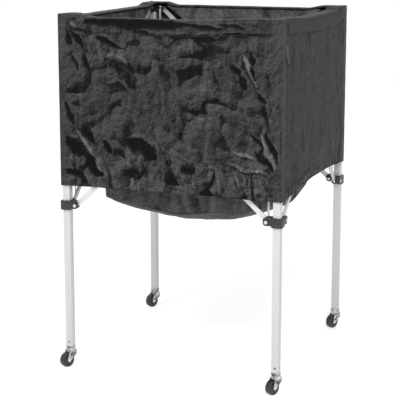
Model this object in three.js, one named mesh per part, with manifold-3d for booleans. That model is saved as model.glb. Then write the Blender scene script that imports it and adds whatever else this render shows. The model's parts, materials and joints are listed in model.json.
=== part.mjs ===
// Folding ball cart: four square tube legs on swivel casters carry a fabric bag. A pair of crossed arms
// on each side joins neighbouring legs: an arm's upper end turns in the bracket on top of one leg, its
// lower end in the slider on the next. As the arms steepen, the sliders drop and the legs draw together.
// Millimetres, +Z up, +X to the right, +Y to the back, floor at z = 0.

import * as THREE from "three";
import { mergeVertices } from "three/addons/utils/BufferGeometryUtils.js";
import Module from "manifold-3d";

const wasm = await Module();
wasm.setup();

// Frame
const overallHeight = 1000; // floor to the fabric on top of the corners
const legSpacing = 612; // between the axes of neighbouring legs
const legBottom = 58.6; // floor to the lower end of a tube
const tubeSize = 21; // across the flats
const tubeWall = 1.5;
const tubeCorner = 2.5; // outside edge radius

// Arms and their pivots
const armWidth = 13;
const armThickness = 6.5;
const armBevel = 0.6;
const innerLayer = -2.5; // leg axis plane to the middle of the inner arm of a side, outwards
const outerLayer = 5;
const pivotOffset = 28; // leg axis to an arm pivot, along the side
const pivotBelowRoof = 14.8; // top of a bracket to its pivots
const sliderPivotHeight = 471;
const pinRadius = 2.5;
const pinClearance = 0.3;
const rivetHeadRadius = 4.3;
const rivetHeadThickness = 1.2;
const seatGap = 0.3; // between pieces that bear on each other

// Brackets on top of the legs, and the forks that they share with the sliders
const earReach = 8; // pivot to the free end of a fork
const earCorner = 7;
const earThickness = 3;
const earArmSide = 13; // pivot to the edge of a fork on the side that its arm leaves to
const earFarSide = 9;
const forkClearance = 0.4; // each side of an arm end
const innerFace = 13.5; // leg axis to the faces of a hub that look into the cart
const hubCorner = 3;
const bracketOuterFace = 12.4; // leg axis to the outward faces of a top bracket
const bracketOuterCorner = 4.6;
const bracketEarFace = 11.4; // leg axis to the outward faces of its forks
const bracketHeight = 28;
const bracketRoof = 10; // solid part above the tube
const coverGap = 0.6; // roof of a top bracket to the fabric over it

// Sliders
const sliderOuterFace = 16;
const sliderOuterCorner = 3.5;
const sliderBelow = 13.5; // sleeve below its pivots
const sliderAbove = 12;
const sliderClearance = 0.4;

// Casters
const wheelRadius = 20.5;
const wheelHalfWidth = 8;
const wheelCrown = 1.5; // the tread's edges are this much smaller in radius
const treadEdge = 2; // width of each bevelled edge of the tread
const rimRadius = 15.5;
const hubRadius = 7.5;
const webRecess = 1.6; // hollow between hub and rim on each face
const recessSlope = 1;
const axleRadius = 2.9;
const axleHeadRadius = 4.6;
const axleHeadThickness = 1.5;
const casterTrail = 14; // swivel axis to the axle
const casterAngle = 245; // degrees from +X to the way the casters trail
const yokeGap = 0.8; // wheel to a cheek
const yokeSheet = 1.8;
const yokePlate = 2.6;
const yokeHalfLength = 13; // of the plate under the collar
const yokeBackDrop = 13; // depth of the cheeks' straight back edge
const yokeBoss = 6.5; // radius of a cheek's end round the axle
const yokeHoleRadius = 2.8;
const yokeHoleForward = 6; // from the swivel axis
const yokeHoleDrop = 11.5; // below the top of the plate
const collarHeight = 11.8;
const collarWide = 14; // radius of the upper race
const collarNarrow = 13.4; // radius of the lower race
const collarNeck = 12.3;
const collarChamfer = 1;
const swivelPinRadius = 4;
const swivelHeadRadius = 6;
const swivelHeadThickness = 1.3;
const plugLength = 36; // of the stem's plug inside the tube
const plugClearance = 0.35;
const screwHeight = 14; // lower end of the tube to its screws
const screwRadius = 1.7;
const screwHeadRadius = 3;
const screwHeadThickness = 1;

// Fabric
const cloth = 1.6; // thickness of every panel
const skirtOut = 14.5; // leg axis to the outside of the skirt
const skirtCorner = 6.6; // outside radius of the skirt round a leg
const hemAboveSlider = 56; // slider's pivots to the lower hem at the corners
const sideHemArch = 16; // rise of the hem mid way along the right and left sides
const frontHemArch = 3;
const hoodRise = 10; // raised corners of the top hem
const hoodLength = 60; // leg axis to the end of a raised corner
const hoodSlope = 26;
const seamGap = 0.5; // between neighbouring panels
const flangeCover = 1.5; // top hem past the inside of the pouch wall
const flangeStep = 3; // between the mesh columns at the flange's mitre
const pouchTopInset = 22; // leg axis plane to the outside of the pouch wall at the top
const pouchBottomInset = 60;
const pouchCutReach = 52; // leg axis to the upper corner of a pouch wall, along the side
const pouchSlitReach = 122; // leg axis to the wall's edge below its slanted cut
const pouchCutDrop = 70;
const rimBelowSlider = 16; // slider's pivots to the pouch floor's rim, mid way along a side
const pouchCornerLift = 25;
const pouchSag = 55; // rim to the underside of the pouch floor's middle
const pouchSquareness = 7; // superellipse exponent of the rim

// Lift straps between the two pins at each corner
const strapWidth = 7;
const strapThickness = 1.2;
const strapEndRadius = 5.5;

// Mesh fineness
const roundSegments = 2; // three.js gives each arc of a shape twice as many
const barSides = 12;
const wheelSegments = 24;
const collarSegments = 16;

const cornerNames = ["front_left", "front_right", "back_right", "back_left"];
const sideNames = ["front", "right", "back", "left"];
const half = legSpacing / 2;
const tubeHalf = tubeSize / 2;
const bracketTop = overallHeight - cloth - coverGap;
const topPivotHeight = bracketTop - pivotBelowRoof;
const armRun = legSpacing - 2 * pivotOffset;
const armDrop = topPivotHeight - sliderPivotHeight;
const armLength = Math.hypot(armRun, armDrop);
const armAngle = Math.atan2(armDrop, armRun);
const skirtTop = overallHeight - hoodRise;
const skirtHem = sliderPivotHeight + hemAboveSlider;
const pouchRim = sliderPivotHeight - rimBelowSlider;
const pouchBase = pouchRim - pouchSag;
const quarter = Math.PI / 2;

const finish = (color, roughness, metalness) =>
  new THREE.MeshStandardMaterial({ color, roughness, metalness });
const aluminium = finish(0xd2d3d4, 0.42, 0.75);
const blackPlastic = finish(0x1d1d1f, 0.5, 0);
const chrome = finish(0xd9dadd, 0.12, 1);
const steel = finish(0xaeb0b3, 0.3, 0.9);
const rubber = finish(0x29292a, 0.6, 0);
const nylon = finish(0x202022, 0.5, 0);
const webbing = finish(0xb9babb, 0.7, 0);

// Frames for extrusions: the directions of an outline's u and v, with the depth across both
const unitX = new THREE.Vector3(1, 0, 0);
const unitY = new THREE.Vector3(0, 1, 0);
const unitZ = new THREE.Vector3(0, 0, 1);
const frameOf = (u, v) =>
  new THREE.Matrix4().makeBasis(u, v, new THREE.Vector3().crossVectors(u, v));
const plan = frameOf(unitX, unitY);
const alongX = frameOf(unitX, unitZ); // depth runs to -Y
const alongY = frameOf(unitY, unitZ); // depth runs to +X

// A closed three.js geometry as a solid that can be joined and cut
function solidOf(geometry) {
  const bare = geometry.clone();
  bare.deleteAttribute("normal");
  bare.deleteAttribute("uv");
  const merged = mergeVertices(bare);
  const vertProperties = merged.getAttribute("position").array;
  const triVerts = new Uint32Array(merged.index.array);
  return new wasm.Manifold(new wasm.Mesh({ numProp: 3, vertProperties, triVerts }));
}

function geometryOf(solid) {
  const made = solid.getMesh();
  const geometry = new THREE.BufferGeometry();
  geometry.setAttribute("position", new THREE.BufferAttribute(made.vertProperties, made.numProp));
  geometry.setIndex(new THREE.BufferAttribute(made.triVerts, 1));
  return geometry;
}

const joined = (...solids) => solids.reduce((whole, next) => whole.add(next));

// An outline carried from one depth to another in a frame
function extrusion(shape, frame, from, to, bevel = 0) {
  const geometry = new THREE.ExtrudeGeometry(shape, {
    depth: to - from - 2 * bevel,
    curveSegments: roundSegments,
    bevelEnabled: bevel > 0,
    bevelThickness: bevel,
    bevelSize: bevel,
    bevelOffset: -bevel,
    bevelSegments: 1,
  });
  return geometry.translate(0, 0, from + bevel).applyMatrix4(frame);
}

const slab = (shape, frame, from, to) => solidOf(extrusion(shape, frame, from, to));

// A rectangle from (u0, v0) to (u1, v1) with a radius for each corner, counted from (u0, v0)
function roundedRectangle(u0, v0, u1, v1, radii) {
  const shape = new THREE.Shape();
  const corner = (u, v, signU, signV, radius, start) => {
    if (radius > 0) {
      shape.absarc(u + signU * radius, v + signV * radius, radius, start, start + quarter);
    } else {
      shape.lineTo(u, v);
    }
  };
  shape.moveTo(u0 + radii[0], v0);
  corner(u1, v0, -1, 1, radii[1], -quarter);
  corner(u1, v1, -1, -1, radii[2], 0);
  corner(u0, v1, 1, -1, radii[3], quarter);
  corner(u0, v0, 1, 1, radii[0], 2 * quarter);
  return shape;
}

const squareOutline = (halfSize, radius) =>
  roundedRectangle(-halfSize, -halfSize, halfSize, halfSize, Array(4).fill(radius));

// A round bar about the point (u, v) of a frame
function bar(frame, u, v, radius, from, to) {
  const turn = steps(0, 4 * quarter, barSides).slice(0, barSides);
  const spot = (angle) =>
    new THREE.Vector2(u + radius * Math.cos(angle), v + radius * Math.sin(angle));
  const shape = new THREE.Shape(turn.map(spot));
  return slab(shape, frame, Math.min(from, to), Math.max(from, to));
}

// A pin with a head past each end
function rivet(frame, u, v, from, to) {
  const low = Math.min(from, to);
  const high = Math.max(from, to);
  return joined(
    bar(frame, u, v, pinRadius, low, high),
    bar(frame, u, v, rivetHeadRadius, low - rivetHeadThickness, low),
    bar(frame, u, v, rivetHeadRadius, high, high + rivetHeadThickness),
  );
}

// A closed sheet between two grids of points. Seen from outside, the outer grid's columns run to the
// right and its rows upwards.
function sheet(columns, rows, outer, inner) {
  const points = [];
  for (const grid of [outer, inner])
    for (let row = 0; row <= rows; row += 1)
      for (let column = 0; column <= columns; column += 1) points.push(grid(column, row));
  const at = (grid, column, row) => (grid * (rows + 1) + row) * (columns + 1) + column;
  const faces = [];
  const quad = (a, b, c, d) => faces.push(a, b, c, a, c, d);
  for (let row = 0; row < rows; row += 1)
    for (let column = 0; column < columns; column += 1) {
      const round = [
        [column, row],
        [column + 1, row],
        [column + 1, row + 1],
        [column, row + 1],
      ];
      quad(...round.map(([i, j]) => at(0, i, j)));
      quad(...round.reverse().map(([i, j]) => at(1, i, j)));
    }
  for (let i = 0; i < columns; i += 1) {
    quad(at(1, i, 0), at(1, i + 1, 0), at(0, i + 1, 0), at(0, i, 0));
    quad(at(0, i, rows), at(0, i + 1, rows), at(1, i + 1, rows), at(1, i, rows));
  }
  for (let j = 0; j < rows; j += 1) {
    quad(at(1, 0, j), at(0, 0, j), at(0, 0, j + 1), at(1, 0, j + 1));
    quad(at(0, columns, j), at(1, columns, j), at(1, columns, j + 1), at(0, columns, j + 1));
  }
  const geometry = new THREE.BufferGeometry().setFromPoints(points);
  geometry.setIndex(faces);
  return geometry;
}

// Evenly spaced values from one number to another, both included
const steps = (from, to, count) =>
  Array.from({ length: count + 1 }, (_, i) => from + ((to - from) * i) / count);
const clamp01 = (t) => Math.min(1, Math.max(0, t));
const mix = (a, b, t) => a + (b - a) * t;

// Pieces at a corner are made about the leg's axis, for the front left leg: +X and +Y run inwards
// along the two sides that meet there. The other corners are turned copies.

function legGeometry() {
  const outline = squareOutline(tubeHalf, tubeCorner);
  outline.holes.push(squareOutline(tubeHalf - tubeWall, tubeCorner - tubeWall));
  const tube = slab(outline, plan, legBottom, bracketTop - bracketRoof);
  const height = legBottom + screwHeight;
  const holes = [
    bar(alongX, 0, height, screwRadius + pinClearance, 0, tubeSize),
    bar(alongY, 0, height, screwRadius + pinClearance, -tubeSize, 0),
  ];
  return geometryOf(tube.subtract(joined(...holes)));
}

// Two ears and the pin between them. `outwards` is the sign of the frame's depth on the way out of the
// cart, `layer` the arm's place, `pinInside` how far the pin reaches into the cart.
function fork(frame, outwards, layer, outerFace, pivot, low, high, pinInside) {
  const ear = roundedRectangle(0, low, pivotOffset + earReach, high, [0, earCorner, earCorner, 0]);
  const gap = armThickness / 2 + forkClearance;
  const plate = (from, to) =>
    slab(ear, frame, Math.min(outwards * from, outwards * to), Math.max(outwards * from, outwards * to));
  const inside = layer - gap - earThickness;
  const pinStart = Math.min(inside, -pinInside);
  return joined(
    plate(layer + gap, outerFace),
    plate(inside, layer - gap),
    rivet(frame, pivotOffset, pivot, outwards * pinStart, outwards * outerFace),
  );
}

const innerEarFace = armThickness / 2 + forkClearance + earThickness - innerLayer;
const strapFrom = innerEarFace + seatGap;
const strapTo = strapFrom + strapThickness;
const strapPinReach = strapTo + seatGap;

// The arm that falls along +X is in the inner layer, the one that rises towards this leg in the outer
function topBracketGeometry() {
  const low = topPivotHeight - earArmSide;
  const high = topPivotHeight + earFarSide;
  const face = bracketOuterFace;
  const earFace = bracketEarFace;
  const radii = [bracketOuterCorner, hubCorner, hubCorner, hubCorner];
  const hub = roundedRectangle(-face, -face, innerFace, innerFace, radii);
  const body = joined(
    slab(hub, plan, bracketTop - bracketHeight, bracketTop),
    fork(alongX, 1, innerLayer, earFace, topPivotHeight, low, high, 0),
    fork(alongY, -1, outerLayer, earFace, topPivotHeight, low, high, strapPinReach),
  );
  const bore = squareOutline(tubeHalf + seatGap, tubeCorner + seatGap);
  return geometryOf(body.subtract(slab(bore, plan, legBottom, bracketTop - bracketRoof + seatGap)));
}

function sliderGeometry() {
  const low = sliderPivotHeight - earFarSide;
  const high = sliderPivotHeight + earArmSide;
  const face = sliderOuterFace;
  const radii = [sliderOuterCorner, hubCorner, hubCorner, hubCorner];
  const hub = roundedRectangle(-face, -face, innerFace, innerFace, radii);
  const body = joined(
    slab(hub, plan, sliderPivotHeight - sliderBelow, sliderPivotHeight + sliderAbove),
    fork(alongX, 1, outerLayer, face, sliderPivotHeight, low, high, 0),
    fork(alongY, -1, innerLayer, face, sliderPivotHeight, low, high, strapPinReach),
  );
  const bore = squareOutline(tubeHalf + sliderClearance, tubeCorner + sliderClearance);
  return geometryOf(body.subtract(slab(bore, plan, legBottom, bracketTop)));
}

// Elastic strap that hangs from the top bracket's pin and lifts the slider
function strapGeometry() {
  const heights = [sliderPivotHeight, topPivotHeight];
  const left = pivotOffset - strapWidth / 2;
  const band = roundedRectangle(left, heights[0], left + strapWidth, heights[1], [0, 0, 0, 0]);
  const ends = heights.map((v) => bar(alongY, pivotOffset, v, strapEndRadius, strapFrom, strapTo));
  const eyes = heights.map((v) =>
    bar(alongY, pivotOffset, v, pinRadius + pinClearance, 0, strapTo + strapThickness),
  );
  const whole = joined(slab(band, alongY, strapFrom, strapTo), ...ends);
  return geometryOf(whole.subtract(joined(...eyes)));
}

// Flat bar with round ends along +X from its first hole, with a hole at each end and in the middle
function armGeometry() {
  const radius = armWidth / 2;
  const shape = new THREE.Shape();
  shape.absarc(armLength, 0, radius, -quarter, 0);
  shape.absarc(armLength, 0, radius, 0, quarter);
  shape.absarc(0, 0, radius, quarter, 2 * quarter);
  shape.absarc(0, 0, radius, 2 * quarter, 3 * quarter);
  const depth = armThickness / 2;
  const blank = solidOf(extrusion(shape, alongX, -depth, depth, armBevel));
  const holes = [0, armLength / 2, armLength].map((u) =>
    bar(alongX, u, 0, pinRadius + pinClearance, -armThickness, armThickness),
  );
  return geometryOf(blank.subtract(joined(...holes)));
}

// Rivet where the arms of a side cross
function crossRivetGeometry() {
  const reach = armThickness / 2 + seatGap;
  const height = (topPivotHeight + sliderPivotHeight) / 2;
  return geometryOf(rivet(alongX, 0, height, half + innerLayer - reach, half + outerLayer + reach));
}

// Casters are made about their swivel axis, trailing to +X, with the axle along Y
const collarTop = legBottom - seatGap;
const collarBottom = collarTop - collarHeight;
const plateTop = collarBottom - seatGap;
const plateBottom = plateTop - yokePlate;
const swivelHeadTop = plateBottom - seatGap;
const cheekInside = wheelHalfWidth + yokeGap;
const cheekOutside = cheekInside + yokeSheet;

// A closed profile of (radius, distance along the axis) turned about the axle or the swivel axis
function turned(profile, segments) {
  const points = profile.map(([radius, along]) => new THREE.Vector2(radius, along));
  return new THREE.LatheGeometry([...points, points[0]], segments);
}

function wheelGeometry() {
  const bore = axleRadius + pinClearance;
  const face = wheelHalfWidth;
  const web = wheelHalfWidth - webRecess;
  const side = [
    [hubRadius, face],
    [hubRadius + recessSlope, web],
    [rimRadius - recessSlope, web],
    [rimRadius, face],
    [wheelRadius - wheelCrown, face],
    [wheelRadius, face - treadEdge],
  ];
  const mirrored = side.map(([radius, along]) => [radius, -along]);
  const profile = [[bore, -face], ...mirrored, ...side.reverse(), [bore, face]];
  return turned(profile, wheelSegments).translate(casterTrail, 0, wheelRadius);
}

function axleGeometry() {
  const end = cheekOutside + seatGap;
  const head = end + axleHeadThickness;
  const shaft = [
    [0, -head],
    [axleHeadRadius, -head],
    [axleHeadRadius, -end],
    [axleRadius, -end],
    [axleRadius, end],
    [axleHeadRadius, end],
    [axleHeadRadius, head],
    [0, head],
  ];
  return turned(shaft, collarSegments).translate(casterTrail, 0, wheelRadius);
}

// A channel bent from sheet: the plate under the collar and a cheek on each side of the wheel
function yokeGeometry() {
  const cheek = new THREE.Shape();
  cheek.moveTo(-yokeHalfLength, plateTop);
  cheek.lineTo(-yokeHalfLength, plateTop - yokeBackDrop);
  for (const start of [2.5, 3, 3.5])
    cheek.absarc(casterTrail, wheelRadius, yokeBoss, start * quarter, (start + 0.5) * quarter);
  cheek.lineTo(yokeHalfLength, plateTop - yokePlate);
  cheek.lineTo(yokeHalfLength, plateTop);
  const block = slab(cheek, alongX, -cheekOutside, cheekOutside);
  const reach = casterTrail + wheelRadius;
  const inside = roundedRectangle(-reach, 0, reach, plateBottom, [0, 0, 0, 0]);
  const width = 2 * cheekOutside;
  const cuts = joined(
    slab(inside, alongX, -cheekInside, cheekInside),
    bar(plan, 0, 0, swivelPinRadius + pinClearance, 0, plateTop + yokePlate),
    bar(alongX, casterTrail, wheelRadius, axleRadius + pinClearance, -width, width),
    bar(alongX, yokeHoleForward, plateTop - yokeHoleDrop, yokeHoleRadius, -width, width),
  );
  return geometryOf(block.subtract(cuts));
}

// Swivel pin, the two races round it, and the plug that two screws hold in the leg
function stemGeometry() {
  const middle = (collarTop + collarBottom) / 2;
  const groove = collarChamfer / 2;
  const profile = [
    [0, swivelHeadTop - swivelHeadThickness],
    [swivelHeadRadius, swivelHeadTop - swivelHeadThickness],
    [swivelHeadRadius, swivelHeadTop],
    [swivelPinRadius, swivelHeadTop],
    [swivelPinRadius, collarBottom],
    [collarNarrow - collarChamfer, collarBottom],
    [collarNarrow, collarBottom + collarChamfer],
    [collarNarrow, middle - collarChamfer],
    [collarNeck, middle - groove],
    [collarNeck, middle + groove],
    [collarWide, middle + collarChamfer],
    [collarWide, collarTop - collarChamfer],
    [collarWide - collarChamfer, collarTop],
    [0, collarTop],
  ];
  const upright = new THREE.Matrix4().makeRotationX(quarter);
  const collar = solidOf(turned(profile, collarSegments).applyMatrix4(upright));
  const plugHalf = tubeHalf - tubeWall - plugClearance;
  const plugOutline = squareOutline(plugHalf, tubeCorner - tubeWall);
  const plug = slab(plugOutline, plan, collarTop - collarChamfer, collarTop + plugLength);
  const height = legBottom + screwHeight;
  const headFrom = tubeHalf + seatGap;
  const screws = [
    [alongX, 1],
    [alongY, -1],
  ].map(([frame, outwards]) =>
    joined(
      bar(frame, 0, height, screwRadius, 0, outwards * headFrom),
      bar(frame, 0, height, screwHeadRadius, outwards * headFrom, outwards * (headFrom + screwHeadThickness)),
    ),
  );
  return geometryOf(joined(collar, plug, ...screws));
}

// Fabric panels are made for the front side, about the middle of the cart, and turned for the others

const cornerOut = skirtOut - skirtCorner; // leg axis planes to the middle of a skirt's bend

// A skirt goes from the diagonal of one corner round that leg, along the side and round the next leg to
// its diagonal. A column is a centre along the side with the direction outwards from it.
function skirtColumns() {
  const mitre = seamGap / 2 / (skirtCorner - cloth);
  const cornerSteps = 4;
  const bend = steps(mitre, quarter / 2, cornerSteps).slice(0, cornerSteps);
  const nearCorner = [-cornerOut, hoodLength / 2, hoodLength, hoodLength + hoodSlope / 2];
  const flat = half - hoodLength - hoodSlope;
  const middle = steps(-flat, flat, 6);
  return [
    ...bend.map((angle) => ({ centre: -half - cornerOut, angle: angle - quarter / 2 })),
    ...nearCorner.map((reach) => ({ centre: reach - half, angle: 0 })),
    ...middle.map((centre) => ({ centre, angle: 0 })),
    ...nearCorner.reverse().map((reach) => ({ centre: half - reach, angle: 0 })),
    ...bend.reverse().map((angle) => ({ centre: half + cornerOut, angle: quarter / 2 - angle })),
  ];
}

function hoodTop(centre) {
  const t = clamp01((half - Math.abs(centre) - hoodLength) / hoodSlope);
  return skirtTop + hoodRise * (1 - t * t * (3 - 2 * t));
}

function skirtGeometry(hemArch) {
  const columns = skirtColumns();
  const last = columns.length - 1;
  const flangeInset = pouchTopInset + cloth + flangeCover;
  const flangePlace = (column) => {
    const reach = half - flangeInset - seamGap;
    const low = -reach + column * flangeStep;
    const high = reach - (last - column) * flangeStep;
    return Math.min(Math.max(columns[column].centre, low), high);
  };
  const point = (column, row, inwards) => {
    const { centre, angle } = columns[column];
    const top = hoodTop(centre);
    if (row === 3) {
      return new THREE.Vector3(flangePlace(column), flangeInset - half, top - inwards);
    }
    const radius = skirtCorner - inwards;
    const hem = skirtHem + hemArch * Math.max(0, 1 - (centre / half) ** 2);
    const z = row === 2 ? top - inwards : mix(hem, skirtTop, row / 2);
    return new THREE.Vector3(
      centre + radius * Math.sin(angle),
      -half - cornerOut - radius * Math.cos(angle),
      z,
    );
  };
  return sheet(
    last,
    3,
    (column, row) => point(column, row, 0),
    (column, row) => point(column, row, cloth),
  );
}

// Height of the pouch floor's rim in a direction seen from the middle of the cart
function rimHeight(x, y) {
  const twice = Math.sin(2 * Math.atan2(y, x));
  return pouchRim + pouchCornerLift * twice * twice;
}

// A pouch wall leans in from the top hem to the floor's rim. Its upper corners are cut back slantwise.
function pouchWallGeometry() {
  const columns = 10;
  const top = skirtTop - cloth - seatGap;
  const cut = top - pouchCutDrop;
  const levels = [...steps(0, 1, 5), null];
  const point = (column, row, inwards) => {
    const share = (2 * column) / columns - 1;
    const reach = levels[row] === null ? pouchCutReach : pouchSlitReach;
    const x = share * (half - reach);
    const low = rimHeight(x, half - pouchBottomInset) + seatGap;
    const z = levels[row] === null ? top : mix(low, cut, levels[row]);
    const inset = mix(pouchTopInset, pouchBottomInset, (top - z) / (top - pouchRim));
    return new THREE.Vector3(x, inset + inwards - half, z);
  };
  return sheet(
    columns,
    levels.length - 1,
    (column, row) => point(column, row, 0),
    (column, row) => point(column, row, cloth),
  );
}

// Half of the sagging pouch floor, from the middle of the cart to the front rim
function pouchFloorGeometry() {
  const columns = 12;
  const rows = 6;
  const reach = half - pouchBottomInset + cloth;
  const point = (column, row, upwards) => {
    const a = (2 * column) / columns - 1;
    const b = row / rows;
    const ring = Math.max(Math.abs(a), b);
    const spread = Math.abs(a) ** pouchSquareness + b ** pouchSquareness;
    const shrink = ring > 0 ? ring / spread ** (1 / pouchSquareness) : 1;
    const x = reach * a * shrink;
    const y = -reach * b * shrink;
    const z = mix(pouchBase, rimHeight(x, y) - cloth, ring * ring);
    return new THREE.Vector3(x, y - seamGap / 2, z + upwards);
  };
  return sheet(
    columns,
    rows,
    (column, row) => point(column, row, 0),
    (column, row) => point(column, row, cloth),
  );
}

function named(name, geometry, material) {
  const mesh = new THREE.Mesh(geometry, material);
  mesh.name = name;
  mesh.geometry.computeVertexNormals();
  return mesh;
}

const legPlace = (index) =>
  new THREE.Vector3(-half, -half, 0).applyAxisAngle(unitZ, index * quarter);

const cornerPieces = {
  leg: [legGeometry(), aluminium],
  top_bracket: [topBracketGeometry(), blackPlastic],
  slider: [sliderGeometry(), blackPlastic],
  lift_strap: [strapGeometry(), webbing],
  caster_stem: [stemGeometry(), chrome],
};
const casterPieces = {
  caster_yoke: [yokeGeometry(), chrome],
  caster_axle: [axleGeometry(), steel],
  wheel: [wheelGeometry(), rubber],
};

function corner(index) {
  const group = new THREE.Group();
  group.position.copy(legPlace(index));
  group.rotation.z = index * quarter;
  for (const [piece, [geometry, material]] of Object.entries(cornerPieces))
    group.add(named(`${piece}_${cornerNames[index]}`, geometry, material));
  const caster = new THREE.Group();
  caster.rotation.z = THREE.MathUtils.degToRad(casterAngle) - index * quarter;
  for (const [piece, [geometry, material]] of Object.entries(casterPieces))
    caster.add(named(`${piece}_${cornerNames[index]}`, geometry, material));
  group.add(caster);
  return group;
}

const arm = armGeometry();
const crossRivet = crossRivetGeometry();
const pouchWall = pouchWallGeometry();
const frontSkirt = skirtGeometry(frontHemArch);
const sideSkirt = skirtGeometry(sideHemArch);

function side(index) {
  const name = sideNames[index];
  const group = new THREE.Group();
  group.rotation.z = index * quarter;
  const falling = named(`${name}_arm_falling`, arm, aluminium);
  falling.position.set(pivotOffset - half, -half - innerLayer, topPivotHeight);
  falling.rotation.y = armAngle;
  const rising = named(`${name}_arm_rising`, arm, aluminium);
  rising.position.set(pivotOffset - half, -half - outerLayer, sliderPivotHeight);
  rising.rotation.y = -armAngle;
  group.add(falling, rising, named(`${name}_cross_rivet`, crossRivet, steel));
  group.add(named(`${name}_skirt`, index % 2 ? sideSkirt : frontSkirt, nylon));
  group.add(named(`${name}_pouch_wall`, pouchWall, nylon));
  return group;
}

const cart = new THREE.Group();
for (let index = 0; index < 4; index += 1) cart.add(corner(index), side(index));
const pouchFloor = pouchFloorGeometry();
const frontFloor = named("pouch_floor_front", pouchFloor, nylon);
const backFloor = named("pouch_floor_back", pouchFloor, nylon);
backFloor.rotation.z = 2 * quarter;
cart.add(frontFloor, backFloor);

// The origin is the middle of the bounding box on the floor
cart.updateMatrixWorld(true);
const middle = new THREE.Box3().setFromObject(cart, true).getCenter(new THREE.Vector3());
cart.position.set(-middle.x, -middle.y, 0);

export default cart;
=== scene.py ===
import json
import math

import bpy
import numpy as np
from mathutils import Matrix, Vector


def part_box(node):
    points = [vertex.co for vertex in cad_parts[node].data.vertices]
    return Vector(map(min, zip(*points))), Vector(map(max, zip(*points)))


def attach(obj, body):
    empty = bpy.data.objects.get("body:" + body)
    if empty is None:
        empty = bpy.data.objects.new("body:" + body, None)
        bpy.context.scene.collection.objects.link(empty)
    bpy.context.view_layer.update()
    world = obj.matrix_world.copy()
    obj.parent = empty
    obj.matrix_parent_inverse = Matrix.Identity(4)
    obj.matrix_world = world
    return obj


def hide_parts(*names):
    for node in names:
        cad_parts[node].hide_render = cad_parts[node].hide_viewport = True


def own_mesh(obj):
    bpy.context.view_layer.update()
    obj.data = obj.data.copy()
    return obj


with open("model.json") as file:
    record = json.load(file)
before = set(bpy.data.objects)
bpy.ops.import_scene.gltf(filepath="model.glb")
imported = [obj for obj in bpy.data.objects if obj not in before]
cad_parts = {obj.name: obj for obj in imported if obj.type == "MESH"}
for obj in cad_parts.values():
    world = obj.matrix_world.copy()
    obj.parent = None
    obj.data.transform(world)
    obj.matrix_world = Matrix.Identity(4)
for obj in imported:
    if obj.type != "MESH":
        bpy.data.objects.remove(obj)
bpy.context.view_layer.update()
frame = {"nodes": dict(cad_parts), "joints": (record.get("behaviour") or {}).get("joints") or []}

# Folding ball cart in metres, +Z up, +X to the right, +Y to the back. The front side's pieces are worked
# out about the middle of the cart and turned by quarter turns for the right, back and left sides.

# Places and sizes that the frame gives
corners = ["front_left", "front_right", "back_right", "back_left"]
sides = ["front", "right", "back", "left"]
leg_boxes = [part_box(f"leg_{corner}") for corner in corners]
leg_places = [(low + high) / 2 for low, high in leg_boxes]
centre = sum(leg_places, Vector()) / len(corners)
half = (leg_places[1].x - leg_places[0].x) / 2
tube_half = (leg_boxes[0][1].x - leg_boxes[0][0].x) / 2
leg_bottom = leg_boxes[0][0].z
skirt_out = leg_places[0].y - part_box("front_skirt")[0].y
skirt_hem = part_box("front_skirt")[0].z
bag_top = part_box("front_skirt")[1].z
joints = {joint["name"]: joint for joint in frame["joints"]}
top_pivot = joints["front_right_leg_pivot"]["pos_m"][2]
slider_pivot = joints["front_right_slider_pivot"]["pos_m"][2]
pivot_offset = half - (joints["front_right_leg_pivot"]["pos_m"][0] - centre.x)

# Cloth
cloth = 0.0010
hood_rise = 0.0086
hood_length = 0.046
hood_slopes = {
    "front": (0.048, 0.190), "right": (0.170, 0.060), "back": (0.060, 0.044), "left": (0.044, 0.050),
}
flat_top = bag_top - hood_rise
fold_radius = 0.0032
skirt_corner = 0.0066
corner_out = skirt_out - skirt_corner
flange_inset = 0.0251
flange_run = 0.070
lip_drop = 0.004
hem_arch = {"front": 0.003, "right": 0.016, "back": 0.003, "left": 0.016}
casing_height = 0.041
lower_hem_height = 0.022
stitch_pitch = 0.0046
stitch_length = 0.0032
stitch_thickness = 0.00042
pouch_top_inset = 0.022
pouch_bottom_inset = 0.060
pouch_cuts = {
    "front": (0.052, 0.122), "right": (0.052, 0.122), "back": (0.056, 0.128), "left": (0.060, 0.166),
}
pouch_cut_drop = 0.064
pouch_slit_reach = 0.122
pouch_slit_drop = 0.200
pouch_closed = 0.535
pouch_open = 0.610
pouch_rim = 0.455
pouch_corner_lift = 0.025
pouch_sag = 0.055
squareness = 7
pouch_wall_length = 0.535
strap_reach = 0.385
strap_past_pin = 0.005

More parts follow.
